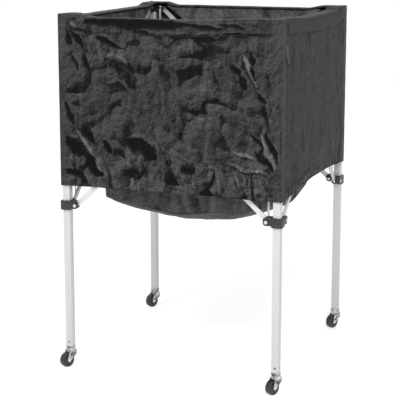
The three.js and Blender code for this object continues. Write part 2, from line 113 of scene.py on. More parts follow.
# Where the main folds of the front panel run, in millimetres: along from the middle and height at each
# end, width at each end, and height of the fold, negative for a hollow. Each fold also gets painted
# shade: a hollow is painted dark and a ridge light
front_folds = [
    (-296, 954, -281, 917, 11, 14, -3), (-286, 957, -245, 916, 11, 14, -3),
    (-205, 944, -124, 909, 25, 6, -4), (-91, 960, -42, 949, 8, 11, -2), (-42, 954, -14, 936, 11, 8, -2),
    (-248, 894, -228, 851, 14, 11, -4), (-277, 890, -264, 845, 11, 11, -2),
    (-180, 878, -112, 864, 19, 22, -1.5), (-133, 863, -104, 814, 25, 19, -1.5),
    (-172, 816, -113, 802, 11, 16, -1.5), (-302, 758, -276, 699, 16, 14, -2),
    (-298, 661, -244, 615, 30, 33, -4), (-244, 615, -194, 560, 33, 16, -4),
    (-264, 691, -182, 560, 12, 8, 4), (-303, 577, -233, 545, 16, 14, -3),
    (-249, 695, -216, 652, 22, 14, -3), (-186, 665, -163, 628, 16, 14, -3),
    (-124, 661, -47, 649, 22, 33, -3), (-77, 647, -33, 618, 33, 33, -4),
    (-60, 586, -101, 552, 8, 11, -2), (118, 601, 141, 597, 7, 8, -2), (141, 597, 124, 550, 8, 6, -2),
    (235, 704, 265, 664, 8, 8, -3), (265, 664, 260, 634, 8, 11, -2), (264, 700, 299, 611, 14, 11, 4),
    (278, 704, 306, 630, 11, 11, -3), (251, 655, 295, 611, 11, 11, -3), (191, 651, 246, 639, 8, 8, 3),
    (163, 620, 290, 597, 8, 11, 2), (185, 595, 207, 556, 7, 6, 2.5), (229, 914, 241, 881, 14, 14, -4),
    (233, 878, 250, 840, 8, 7, -3), (186, 878, 201, 853, 11, 11, -3), (201, 853, 223, 818, 11, 11, -3),
    (210, 908, 254, 827, 14, 14, 3), (85, 942, 113, 922, 11, 8, -2), (252, 804, 273, 779, 14, 11, -3),
    (151, 985, 227, 977, 8, 8, -2), (-279, 979, -258, 972, 14, 14, 2), (-236, 981, 84, 978, 26, 20, -3),
    (60, 978, 160, 975, 16, 8, -2.4), (1, 950, 68, 947, 11, 11, -3), (68, 947, 137, 946, 14, 14, -3),
    (137, 946, 184, 957, 14, 11, -2), (184, 957, 227, 957, 11, 11, -3),
]
right_folds = [
    (-296, 930, -280, 880, 12, 12, 2), (-290, 560, -262, 540, 10, 8, -2),
    (-170, 546, -54, 566, 10, 12, 2), (290, 950, 262, 880, 12, 10, -2),
    (296, 640, 240, 560, 16, 12, -2),
]
back_folds = [
    (-298, 940, -240, 880, 14, 10, -3), (-290, 700, -225, 575, 26, 14, -3),
    (-262, 720, -200, 590, 12, 8, 3), (298, 950, 255, 890, 12, 10, -3),
    (296, 660, 236, 600, 26, 20, -4), (288, 710, 220, 600, 12, 8, 3), (60, 700, 110, 640, 20, 14, -1),
    (-70, 640, -20, 600, 16, 20, -1.2), (120, 900, 160, 850, 14, 10, -1),
]
left_folds = [
    (-296, 900, -250, 850, 12, 10, -3), (-292, 640, -240, 570, 18, 12, -3),
    (290, 930, 262, 860, 12, 12, -2), (294, 650, 250, 575, 20, 12, -3), (-40, 620, 20, 590, 16, 14, -1),
]
main_folds = {"front": front_folds, "right": right_folds, "back": back_folds, "left": left_folds}
crumple_strength = {"front": 1.0, "right": 0.35, "back": 0.9, "left": 0.6}
# Painted shade on each side's cloth, darker on the sides that the lamps light more
side_painted_shade = {"front": -0.12, "right": -0.40, "back": -0.06, "left": -0.06}
millimetre = 0.001
lattice = 61

# Layers of crumpled cloth: the size of a layer's cells and how strong it is
crumple_cells = ((0.075, 1.0), (0.038, 0.55), (0.019, 0.28), (0.0105, 0.09))
broad_cells = ((0.090, 1.0), (0.046, 0.60))
fine_cells = ((0.034, 0.50), (0.019, 0.28), (0.0105, 0.10))


def ease(t):
    """Goes from 0 to 1 with flat ends: 6t^5 - 15t^4 + 10t^3, and stays level outside."""
    t = np.clip(t, 0, 1)
    return t * t * t * (t * (t * 6 - 15) + 10)


def mix(a, b, t):
    return a + (b - a) * t


def bell(distance, width):
    return np.exp(-((distance / width) ** 2))


def joined(*values):
    """Points or coordinates from their parts."""
    return np.stack(np.broadcast_arrays(*values), axis=-1)


def ripple(u, v, seed):
    """Gradient noise: each lattice point has a slope in a seeded direction, and the heights blend."""
    turn = np.random.default_rng(seed).uniform(0, 2 * math.pi, (lattice, lattice))
    i = np.floor(u).astype(int)
    j = np.floor(v).astype(int)

    def height(di, dj):
        angle = turn[(i + di) % lattice, (j + dj) % lattice]
        return np.cos(angle) * (u - i - di) + np.sin(angle) * (v - j - dj)

    low = mix(height(0, 0), height(1, 0), ease(u - i))
    high = mix(height(0, 1), height(1, 1), ease(u - i))
    return mix(low, high, ease(v - j))


def crumple(u, v, seed, cells=crumple_cells):
    """Crumpled cloth, about -1 to 1: layers of |noise|, whose zero lines are creases. The axes are bent
    and turned, and the cells are twice as long as they are wide."""
    bend, bend_cell = 0.020, 0.07
    first_turn, next_turn = 0.45, 0.32
    bend_u = u + bend * ripple(u / bend_cell, v / bend_cell, seed)
    bend_v = v + bend * ripple(u / bend_cell, v / bend_cell, seed + 1)
    total = 0
    for layer, (cell, rise) in enumerate(cells):
        turn = first_turn + next_turn * layer
        across = math.cos(turn) * bend_u + math.sin(turn) * bend_v
        along = math.cos(turn) * bend_v - math.sin(turn) * bend_u
        folded = np.abs(ripple(across / cell, along / cell * 0.5, seed + 2 + layer))
        total += rise * (4 * folded - 1)
    return total


def facing(x, z, seed, cells):
    """How crumpled cloth turns to light from above on the left, -1 to 1: minus its slope that way."""
    step, steep_slope = 0.0015, 42
    slope = (crumple(x - 0.7 * step, z + 0.7 * step, seed, cells) - crumple(x, z, seed, cells)) / step
    return np.tanh(-slope / steep_slope)


def creased(x, z, seed):
    """Painted light and shade of crumpled cloth, lit from above on the left: broad facets, dark where
    they turn well away, and fine creases on them.
    """
    broad = facing(x, z, seed, broad_cells)
    shadow = ease((-broad - 0.30) / 0.40) * ease((ripple(x / 0.13, z / 0.11, seed + 17) + 0.42) / 0.35)
    return 0.34 * broad + 0.30 * facing(x, z, seed + 20, fine_cells) - 0.62 * shadow


def fold_field(x, z, folds, seed):
    """Relief of the main folds, and their painted light and shade. Across its line a fold is a bell,
    exp(-(distance / width)^2), steep on one side and gentle on the other. It thins out to both ends."""
    gentle_width = 1.7

    def bent(value, seed):
        """Lines wander by 11 mm in cells of 40 mm, and by 3 mm in cells of 14 mm."""
        value = value + 0.011 * ripple(x / 0.040, z / 0.040, seed)
        return value + 0.003 * ripple(x / 0.014, z / 0.014, seed + 1)

    bent_x, bent_z = bent(x, seed), bent(z, seed + 2)
    relief = dark = light = np.zeros_like(x)
    for x0, z0, x1, z1, width0, width1, height in folds:
        run = np.array([x1 - x0, z1 - z0]) * millimetre
        away_x, away_z = bent_x - x0 * millimetre, bent_z - z0 * millimetre
        share = np.clip((away_x * run[0] + away_z * run[1]) / (run @ run), 0, 1)
        gap = np.hypot(away_x - share * run[0], away_z - share * run[1])
        steep = (away_x * run[1] - away_z * run[0]) > 0
        thinned = np.sin(math.pi * (0.05 + 0.90 * share)) ** 0.8
        width = 0.66 * millimetre * mix(width0, width1, share) * thinned
        raised = height * bell(gap, width * np.where(steep, 1.0, gentle_width))
        # Its painted shade is a patch on the fold, dark on a hollow and light on a ridge, and a painted rim
        #         # of the other tone on one side
        patch = np.exp(-((gap / width) ** 4)) * min(1, abs(height) / 3)
        rim = 0.45 * bell(gap / width - 1.45, 0.35)
        relief = np.where(np.abs(raised) > np.abs(relief), raised, relief)
        if height > 0:
            light = np.maximum(light, patch * 0.85)
            dark = np.maximum(dark, np.where(steep, rim * 1.6, 0))
        else:
            dark = np.maximum(dark, patch)
            light = np.maximum(light, np.where(steep, 0, rim))
    return relief * millimetre, light, dark


def turned(points, index):
    """Points worked out for the front side, about the middle of the cart, at the side with that index."""
    x, y, z = points[..., 0], points[..., 1], points[..., 2]
    for _ in range(index):
        x, y = -y, x
    return joined(x + centre.x, y + centre.y, z)


def turned_way(ways, index):
    """Directions worked out for the front side, at the side with that index."""
    return turned(ways, index) - turned(np.zeros(3), index)


def at_corner(points, index):
    """Points worked out about the front left leg's axis, at the leg with that index."""
    return turned(points - np.array([half, half, 0]), index)


def grid_faces(rows, columns, ring=False):
    """Quads of a grid of points. Seen from outside, columns run to the right and rows upwards."""
    start = np.arange(rows - 1)[:, None] * columns
    column = np.arange(columns if ring else columns - 1)[None, :]
    beside = (column + 1) % columns
    above = start + columns
    quads = joined(start + column, start + beside, above + beside, above + column)
    return quads.reshape(-1, 4).tolist()


def piece(name, points, finish, uv=None, shade=None, faces=None):
    """A smooth mesh object from a grid of points or from faces, with cloth coordinates and painted shade.
    """
    mesh = bpy.data.meshes.new(name)
    faces = faces or grid_faces(*points.shape[:2])
    mesh.from_pydata(points.reshape(-1, 3).tolist(), [], faces)
    if uv is not None:
        layer = mesh.uv_layers.new(name="cloth")
        of_corners = uv.reshape(-1, 2)[np.concatenate(faces)]
        layer.data.foreach_set("uv", of_corners.astype(np.float32).ravel())
    if shade is not None:
        attribute = mesh.attributes.new("fold_shade", "FLOAT", "POINT")
        attribute.data.foreach_set("value", np.clip(shade, -1, 1).astype(np.float32).ravel())
    mesh.polygons.foreach_set("use_smooth", [True] * len(mesh.polygons))
    mesh.materials.append(finish.material)
    made = bpy.data.objects.new(name, mesh)
    bpy.context.scene.collection.objects.link(made)
    return made


def thicken(cloth_piece, thickness, offset=-1):
    """Gives cloth its thickness, inwards, or to both sides with an offset of 0."""
    layer = cloth_piece.modifiers.new("thickness", "SOLIDIFY")
    layer.thickness = thickness
    layer.offset = offset


def revolved(profile, segments):
    """A closed solid of (radius, height) points turned about Z; a radius of 0 closes it at a pole."""
    profile = np.array(profile)
    angle = np.arange(segments) * 2 * math.pi / segments
    rings = profile[profile[:, 0] > 0]
    radius, height = rings[:, :1], rings[:, 1:]
    points = joined(radius * np.cos(angle), radius * np.sin(angle), height).reshape(-1, 3)
    faces = grid_faces(len(rings), segments, ring=True)
    for pole, start in ((0, 0), (-1, (len(rings) - 1) * segments)):
        if profile[pole, 0] == 0:
            points = np.vstack([points, [0, 0, profile[pole, 1]]])
            for i in range(segments):
                edge = [start + i, start + (i + 1) % segments]
                faces.append([*(edge if pole else edge[::-1]), len(points) - 1])
    return points, faces


def stood(points, place, axis):
    """Points made along Z, with Z turned to an axis and the origin moved to a place."""
    turn = Vector((0, 0, 1)).rotation_difference(Vector(axis)).to_matrix()
    return points @ np.array(turn).T + np.array(place)


def solid(name, parts, finish):
    """One object from several closed shapes, each of points and faces."""
    points, faces, count = [], [], 0
    for part_points, part_faces in parts:
        points.append(part_points)
        faces += [[index + count for index in face] for face in part_faces]
        count += len(part_points)
    return piece(name, np.vstack(points), finish, faces=faces)


class Value:
    """A shader socket that takes Python's operators: each adds a Math node."""

    def __init__(self, finish, socket):
        self.finish = finish
        self.socket = socket

    def maths(self, operation, *others):
        inputs = dict(enumerate((self, *others)))
        return self.finish.node("ShaderNodeMath", {"operation": operation}, inputs)

    def __add__(self, other):
        return self.maths("ADD", other)

    __radd__ = __add__

    def __sub__(self, other):
        return self.maths("SUBTRACT", other)

    def __mul__(self, other):
        return self.maths("MULTIPLY", other)

    def __abs__(self):
        return self.maths("ABSOLUTE")

    def sine(self):
        return self.maths("SINE")

    def held(self):
        """Kept between 0 and 1."""
        return self.maths("MAXIMUM", 0).maths("MINIMUM", 1)


class Finish:
    """A procedural material with the record's slot that it belongs to."""

    def __init__(self, name, slot, plain):
        self.slot = slot
        self.material = bpy.data.materials.new(name)
        self.material.use_nodes = True
        self.tree = self.material.node_tree
        self.shader = self.tree.nodes["Principled BSDF"]
        for socket, value in plain.items():
            self.shader.inputs[socket].default_value = value

    def node(self, kind, settings=(), inputs=(), output=0):
        """Adds a node, sets its settings, then its sockets, and gives one of its outputs."""
        made = self.tree.nodes.new(kind)
        for key, value in dict(settings).items():
            setattr(made, key, value)
        for key, value in dict(inputs).items():
            if isinstance(value, Value):
                self.tree.links.new(value.socket, made.inputs[key])
            else:
                made.inputs[key].default_value = value
        return Value(self, made.outputs[output])

    def feed(self, socket, value):
        self.tree.links.new(value.socket, self.shader.inputs[socket])

    def place(self, kind="Object"):
        return self.node("ShaderNodeTexCoord", output=kind)

    def split(self, place):
        """Cloth coordinates across and along."""
        return [self.node("ShaderNodeSeparateXYZ", {}, {0: place}, axis) for axis in "XY"]

    def noise(self, place, scale, detail=2.0, roughness=0.5, distortion=0.0, dimensions="3D"):
        inputs = {"Vector": place, "Scale": scale, "Detail": detail, "Roughness": roughness,
                  "Distortion": distortion}
        return self.node("ShaderNodeTexNoise", {"noise_dimensions": dimensions}, inputs, "Fac")

    def stretched(self, place, scale, rotation=(0, 0, 0)):
        """Coordinates turned, then stretched by a scale for each axis."""
        turn = self.node("ShaderNodeMapping", {}, {"Vector": place, "Rotation": rotation})
        return self.node("ShaderNodeMapping", {}, {"Vector": turn, "Scale": scale})

    def paint(self, factor, dark, light):
        """Colours the surface between two colours."""
        inputs = {0: factor, 6: (*dark, 1), 7: (*light, 1)}
        self.feed("Base Color", self.node("ShaderNodeMix", {"data_type": "RGBA"}, inputs, 2))

    def ramp(self, factor, stops):
        """A colour ramp with stops of (place, colour)."""
        made = self.node("ShaderNodeValToRGB", {}, {0: factor})
        elements = made.socket.node.color_ramp.elements
        while len(elements) < len(stops):
            elements.new(1)
        for element, (place, colour) in zip(elements, stops):
            element.position = place
            element.color = (*colour, 1)
        return made

    def bump(self, height, distance):
        self.feed("Normal", self.node("ShaderNodeBump", {}, {"Height": height, "Distance": distance}))


def nylon_finish():
    """Coated nylon: fine weave, small crinkles with painted light, a sheen that varies, and painted fold
    shade.
    """
    weave_pitch, light_step = 0.0011, 0.0011
    finish = Finish("coated_nylon", "bag_nylon", {"Specular IOR Level": 0.06})
    cloth_place = finish.place("UV")
    shade = finish.node("ShaderNodeAttribute", {"attribute_name": "fold_shade"}, output="Fac")
    across, along = finish.split(cloth_place)
    patches = finish.noise(cloth_place, 11, 3, 0.55, 0.6, "2D")
    crinkle = abs(finish.noise(cloth_place, 75, 3, 0.55, 0.1, "2D") - 0.5)
    waves = 2 * math.pi / weave_pitch
    weave = (across * waves).sine() * (along * waves).sine()
    # Painted light and shade on small creases: how the noise differs a step away
    shift = (light_step, -light_step, 0)
    beside = finish.node("ShaderNodeMapping", {}, {"Vector": cloth_place, "Location": shift})
    ahead, here = (finish.noise(place, 60, 4, 0.58, 0.1, "2D") for place in (beside, cloth_place))
    # The colour carries the folds' painted shade, random patches and the small creases' painted light
    tone = (0.5 + shade * 0.5 + (patches - 0.5) * 0.20 + (ahead - here) * 1.5).held()
    stops = [
        (0.0, (0.003, 0.003, 0.003)), (0.22, (0.009, 0.009, 0.009)), (0.40, (0.030, 0.030, 0.031)),
        (0.52, (0.053, 0.053, 0.054)), (0.68, (0.076, 0.076, 0.077)), (1.0, (0.17, 0.17, 0.172)),
    ]
    finish.feed("Base Color", finish.ramp(tone, stops))
    finish.feed("Roughness", 0.42 + patches * 0.12 + crinkle * 0.2)
    finish.bump(crinkle * 1.6 + weave * 0.045, 0.0011)
    return finish


def aluminium_finish(name, slot, tone, rotation=(0, 0, 0)):
    """Matt anodised aluminium: drawing lines along its length and faint cloudy patches."""
    finish = Finish(name, slot, {"Metallic": 0.2})
    place = finish.place()
    lines = finish.noise(finish.stretched(place, (900, 900, 5), rotation), 1, 2)
    clouds = finish.noise(place, 16, 3)
    dark = tuple(value * 0.86 for value in tone)
    finish.paint((lines * 0.5 + clouds * 0.6 - 0.1).held(), dark, tone)
    finish.feed("Roughness", 0.30 + lines * 0.12 + clouds * 0.10)
    finish.bump(lines, 0.00006)
    return finish


def worn_finish(name, slot, wear, spread, colours, roughness, grain, depth, metallic=0.0):
    """A finish that one noise wears and another one grains, each with its scale and detail. Colour and
    roughness are what the wear is multiplied by and what is added to it."""
    finish = Finish(name, slot, {"Metallic": metallic})
    place = finish.place()
    worn = finish.noise(place, *wear)
    finish.paint((worn * spread[0] + spread[1]).held(), *colours)
    finish.feed("Roughness", worn * roughness[0] + roughness[1])
    finish.bump(finish.noise(place, *grain), depth)
    return finish


def chrome_finish():
    """Bright plating with painted dark and light reflections in its colour, faint smudges and fine pits."""
    finish = Finish("chrome_plate", "chrome_plate", {"Metallic": 1.0})
    place = finish.place()
    smudge = finish.noise(place, 90, 3)
    # Painted reflections: stretched bands of noise darken and lighten the colour
    painted_reflection = finish.noise(finish.stretched(place, (45, 45, 120)), 1, 1)
    tone = (painted_reflection * 2.8 + smudge * 0.4 - 1.1).held()
    finish.paint(tone, (0.08, 0.08, 0.082), (0.62, 0.62, 0.63))
    finish.feed("Roughness", 0.10 + smudge * 0.16)
    finish.bump(finish.noise(place, 700, 2), 0.00005)
    return finish


def webbing_finish():
    """Ribbed elastic webbing: ribs across the strap and yarns along it."""
    rib_pitch, yarn_pitch, tone = 0.0016, 0.0010, (0.86, 0.86, 0.87)
    finish = Finish("strap_webbing", "strap_webbing", {"Roughness": 0.72})
    strap_place = finish.place("UV")
    across, along = finish.split(strap_place)
    ribs = (along * (2 * math.pi / rib_pitch)).sine()
    yarns = (across * (2 * math.pi / yarn_pitch)).sine()
    fluff = finish.noise(strap_place, 700, 2, dimensions="2D")
    dark = tuple(value * 0.72 for value in tone)
    finish.paint((0.5 + ribs * 0.25 + fluff * 0.3).held(), dark, tone)
    finish.bump(ribs * 0.5 + yarns * 0.3 + fluff * 0.4, 0.00022)
    return finish


arm_rise = top_pivot - slider_pivot
arm_run = 2 * half - 2 * pivot_offset
arm_angle = math.atan2(arm_rise, arm_run)
bar_tone = (0.80, 0.80, 0.81)
nylon = nylon_finish()
tube = aluminium_finish("aluminium_tube", "aluminium_tube", (0.72, 0.72, 0.73))
chrome = chrome_finish()
webbing = webbing_finish()
# Moulding with eroded grain and rubbed patches, pins with fine wear, a dusty tread and twisted thread
moulding = worn_finish(
    "black_moulding", "black_moulding", wear=(55, 3), spread=(1.6, -0.4), roughness=(0.22, 0.36),
    colours=((0.012, 0.012, 0.0125), (0.03, 0.03, 0.031)), grain=(1400, 3), depth=0.00012)
steel = worn_finish(
    "steel_pin", "steel_pin", wear=(260, 3), spread=(1, 0), roughness=(0.18, 0.20),
    colours=((0.52, 0.52, 0.53), (0.72, 0.72, 0.73)), grain=(260, 3), depth=0.00006, metallic=0.95)
rubber = worn_finish(
    "wheel_rubber", "wheel_rubber", wear=(130, 4, 0.6, 0.4), spread=(1.8, -0.6), roughness=(0.30, 0.22),
    colours=((0.006, 0.006, 0.0062), (0.03, 0.0295, 0.029)), grain=(900, 3), depth=0.00012)
thread = worn_finish(
    "sewing_thread", "bag_nylon", wear=(1800, 1), spread=(1, 0), roughness=(0, 0.55),
    colours=((0.03, 0.03, 0.031), (0.075, 0.075, 0.077)), grain=(1800, 1), depth=0.0001)


def hood(along, side):
    """Height of the top hem above its level middle: a raised corner that falls off in an S curve."""
    left, right = hood_slopes[side]
    slope = np.where(along < 0, left, right)
    share = np.clip((half - np.abs(along) - hood_length) / slope, 0, 1)
    return hood_rise * (1 - share * share * (3 - 2 * share))


# A skirt goes from seam to seam: half a rounded corner, the flat side, half a rounded corner
corner_arc = skirt_corner * math.pi / 4
skirt_flat = 2 * (half + corner_out)
skirt_length = skirt_flat + 2 * corner_arc


def skirt_plan(s):
    """Where a skirt's column at s from its left seam stands along the side, and the angle it faces."""
    turn = np.clip(corner_arc - s, 0, None) - np.clip(s - corner_arc - skirt_flat, 0, None)
    return np.clip(s - corner_arc, 0, skirt_flat) - skirt_flat / 2, -turn / skirt_corner


def skirt_relief(s, z, hem, top, side):
    """How far a skirt's cloth stands out of its plane, and its painted shade, -1 to 1: hems, folds,
    crumple.
    """
    belly, crumple_rise = 0.0022, 0.0011
    casing_rise, casing_seam_width, casing_seam_depth, pucker_rise = 0.0015, 0.0030, 0.0020, 0.0016
    hem_rise, hem_seam_width, hem_seam_depth, hem_pucker_rise = 0.0007, 0.0020, 0.0009, 0.0007
    deepest, deepest_blend = 0.0002, 0.0006
    x = s - skirt_length / 2
    seed = 100 * sides.index(side)
    rise, drop = z - hem, top - z
    away = np.minimum(s, skirt_length - s)
    inside = ease((away - 0.010) / 0.030)
    below = ease((drop - 0.030) / 0.030)
    strength = crumple_strength[side]
    region = 0.50 + 0.9 * ripple(x / 0.16, z / 0.12, seed + 31) + 0.6 * ease((0.68 - z) / 0.12)
    fine = crumple(x, z, seed + 5) * np.clip(region, 0.2, 1.4)
    folds, light, dark = fold_field(x, z, main_folds[side], seed + 60)
    soft = 0.0016 * ripple(x / 0.11, z / 0.09, seed + 3)
    relief = belly * inside + (soft + crumple_rise * strength * fine) * inside * (0.35 + 0.65 * below)
    relief += 1.25 * folds * (0.25 + 0.75 * inside)
    # Casing along the top: a flat tube of cloth with a row of stitches below it and puckers under those
    casing = 1 - (2 * drop / casing_height - 1) ** 2
    pucker = ripple(x / 0.016, z / 0.05, seed + 9)
    under = np.exp(-np.clip(drop - casing_height, 0, None) / 0.016) * (drop > casing_height)
    relief += casing_rise * np.sqrt(np.clip(casing, 0, 1)) * inside
    seam = bell(drop - casing_height, casing_seam_width)
    relief += (pucker_rise * pucker * under - casing_seam_depth * seam) * inside
    # Lower hem: turned up once, with its row of stitches
    turned_up = ease((lower_hem_height - rise) / 0.002)
    stitched = bell(rise - lower_hem_height, hem_seam_width)
    relief += hem_rise * turned_up - hem_seam_depth * stitched
    relief += hem_pucker_rise * pucker * np.exp(-rise / 0.02) * inside
    # Nothing sinks far below the plane: log(1 + e^x) levels out below 0 and keeps x above it
    low = -belly * inside - deepest
    relief = low + np.logaddexp(0, (relief - low) / deepest_blend) * deepest_blend
    # A broken painted shadow along the casing's row of stitches
    broken = 0.5 + 1.6 * ripple(x / 0.07, z / 0.05, seed + 12)
    dark = np.maximum(dark, np.clip(broken, 0.1, 1) * seam * inside)
    # Painted light and shade: crumple facets as if lit from above on the left, then the folds' painted
    # light and dark and each side's painted shade
    facets = creased(x, z, seed + 5) * (0.22 + 0.78 * strength) * np.clip(region, 0.45, 1.2)
    facets *= (0.25 + 0.75 * inside) * (0.45 + 0.55 * below)
    shade = light * (1 - dark) - dark + 1.15 * facets * (1 - 0.6 * dark) + side_painted_shade[side] * inside
    return relief, np.clip(shade, -1, 1)


def skirt_heights(along, side):
    """Heights of a skirt's lower hem and top, which waver away from the corners."""
    hem_waver, top_waver = 0.0016, 0.0007
    seed = 100 * sides.index(side)
    free = ease((half - np.abs(along)) / 0.05)
    hem = skirt_hem + hem_arch[side] * np.clip(1 - (along / half) ** 2, 0, 1)
    hem += hem_waver * free * ripple(along / 0.055, along * 0 + 0.3, seed + 21)
    top = flat_top + hood(along, side)
    top += top_waver * free * ripple(along / 0.06, along * 0 + 0.7, seed + 22)
    return hem, top


def skirt_wall(s, share, side):
    """Points and painted shade of a skirt's outside, from its lower hem, share 0, to its top fold, share 1.
    """
    along, angle = skirt_plan(s)
    hem, top = skirt_heights(along, side)
    z = mix(hem, top - fold_radius, share)
    relief, shade = skirt_relief(s, z, hem, top, side)
    reach = skirt_corner + relief * (1 - 0.5 * ease((z - top + 0.012) / 0.012))
    return joined(along + reach * np.sin(angle), -half - corner_out - reach * np.cos(angle), z), shade


def skirt(side, index):
    """A side panel from seam to seam: outside, top fold, flange over the pouch wall, and its turned lip."""
    flat_columns, bend_columns = 208, 8
    wall_rows, fold_rows, flange_rows, lip_rows = 158, 6, 9, 3
    crown_rise, lip_radius = 0.0009, 0.0015
    bent = np.arange(bend_columns) * (corner_arc / bend_columns)
    straight = np.linspace(corner_arc, skirt_length - corner_arc, flat_columns)
    s = np.concatenate([bent, straight, skirt_length - bent[::-1]])
    share = np.linspace(0, 1, wall_rows)[:, None]
    wall, shade = skirt_wall(s + 0 * share, share + 0 * s, side)
    along, angle = skirt_plan(s)
    top = skirt_heights(along, side)[1]
    # The fold is a quarter circle, and the flange runs straight to its inner edge, mitred at the corners
    turn = np.arange(1, fold_rows + 1)[:, None] / fold_rows * math.pi / 2
    back = fold_radius * (1 - np.cos(turn))
    x, y = wall[-1, :, 0] - np.sin(angle) * back, wall[-1, :, 1] + np.cos(angle) * back
    fold = joined(x, y, top - fold_radius * (1 - np.sin(turn)))
    away = np.minimum(s, skirt_length - s)
    far = half + corner_out + corner_arc - flange_run
    near = mix(half - flange_inset, far, np.clip(away / flange_run, 0, 1))
    inner_x = np.where(away < flange_run, np.sign(s - skirt_length / 2) * near, along)
    inner_y = -half + flange_inset
    portion = np.arange(1, flange_rows + 1)[:, None] / flange_rows
    crown = crown_rise * ease((half - np.abs(along)) / 0.08) * np.sin(math.pi * portion)
    z = top + crown * (1 + ripple(s / 0.05, s * 0 + portion, index + 41))
    flange = joined(mix(x[-1], inner_x, portion), mix(y[-1], inner_y, portion), z)
    # The lip turns down round a quarter circle and ends in a straight drop
    turn = np.minimum(np.arange(1, lip_rows + 2), lip_rows)[:, None] / lip_rows * math.pi / 2
    fall = lip_radius * (1 - np.cos(turn))
    fall[-1] += lip_drop
    lip = joined(inner_x, inner_y + lip_radius * np.sin(turn), top - fall)
    points = np.concatenate([wall, fold, flange, lip])
    level = points[wall_rows:]
    # Painted shade over the fold, flange and lip: painted crumple light and shade, a little darker overall,
    # into which the dark of the wall's top fades
    level_shade = -0.10 + 0.5 * creased(s + 0 * level[..., 2], level[..., 1], index + 47)
    passed = np.linspace(0, 1, len(level))[:, None]
    shade = np.concatenate([shade, mix(np.minimum(shade[-1:], 0.1), level_shade, passed)])
    length = np.linalg.norm(np.diff(points, axis=0), axis=-1)
    path = np.concatenate([np.zeros((1, len(s))), np.cumsum(length, axis=0)])
    made = piece(f"skirt_panel_{side}", turned(points, index), nylon, joined(s, path), shade)
    thicken(made, cloth)
    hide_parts(f"{side}_skirt")
    return made


def stitches(name, points, along, out):
    """Rows of stitches: each is a small bead, flat on the cloth, at a point, along a direction."""
    ring_points, flatness = 6, 1.3
    along = along / np.linalg.norm(along, axis=-1, keepdims=True)
    side_way = np.cross(along, out)
    stations = [(-0.5, 0.45), (-0.3, 1.0), (0.3, 1.0), (0.5, 0.45)]
    rings = []
    for offset, swell in stations:
        for angle in np.arange(ring_points) * 2 * math.pi / ring_points:
            lift = side_way * math.cos(angle) * flatness + out * math.sin(angle)
            rings.append(points + along * (offset * stitch_length) + lift * (stitch_thickness * swell))
    beads = np.stack(rings, axis=1)
    size = len(rings)
    one = grid_faces(len(stations), ring_points, ring=True)
    one += [list(range(ring_points - 1, -1, -1)), list(range(size - ring_points, size))]
    faces = [[spot + size * bead for spot in face] for bead in range(len(beads)) for face in one]
    return piece(name, beads, thread, faces=faces)


def skirt_stitches(side, index):
    """Stitches along a skirt's casing and lower hem."""
    from_seam, step, lift = 0.012, 0.001, 0.0002
    s = np.arange(from_seam, skirt_length - from_seam, stitch_pitch)
    along, angle = skirt_plan(s)
    hem, top = skirt_heights(along, side)
    height = top - fold_radius - hem
    out = joined(np.sin(angle), -np.cos(angle), 0.0)
    places, ways = [], []
    for z in (top - casing_height, hem + lower_hem_height):
        share = (z - hem) / height
        here, _ = skirt_wall(s, share, side)
        ahead, _ = skirt_wall(s + step, share, side)
        places.append(here + out * lift)
        ways.append(ahead - here)
    points = turned(np.concatenate(places), index)
    way = turned_way(np.concatenate(ways), index)
    return stitches(f"skirt_stitches_{side}", points, way, turned_way(np.concatenate([out, out]), index))


skirt_body = {
    "front": "front_left_leg", "right": "front_right_leg",
    "back": "back_left_leg", "left": "front_left_leg",
}
fold_limit = math.radians(joints["fold"]["range_deg"][1])
arm_length = math.hypot(arm_rise, arm_run)
# Legs stand this far apart when folded, and a flattened piece keeps this share of its length
folded_spacing = 2 * pivot_offset + arm_length * math.cos(arm_angle + fold_limit)
mitre_reach = corner_out + skirt_corner * math.sin(math.pi / 4)
skirt_keep = (folded_spacing + 2 * mitre_reach) / (2 * half + 2 * mitre_reach)
pouch_keep = folded_spacing / (2 * half)


def gathers(cloth_piece, side):
    """Cloth of a side rides on its leg, with a mesh of its own."""
    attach(cloth_piece, skirt_body[side])
    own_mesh(cloth_piece)


for index, side in enumerate(sides):
    panel = skirt(side, index)
    gathers(panel, side)
    gathers(skirt_stitches(side, index), side)


def rim_height(x, y):
    """Height of the pouch floor's rim in a direction: lowest mid way along a side, highest at a corner."""
    return pouch_rim + pouch_corner_lift * np.sin(2 * np.arctan2(y, x)) ** 2


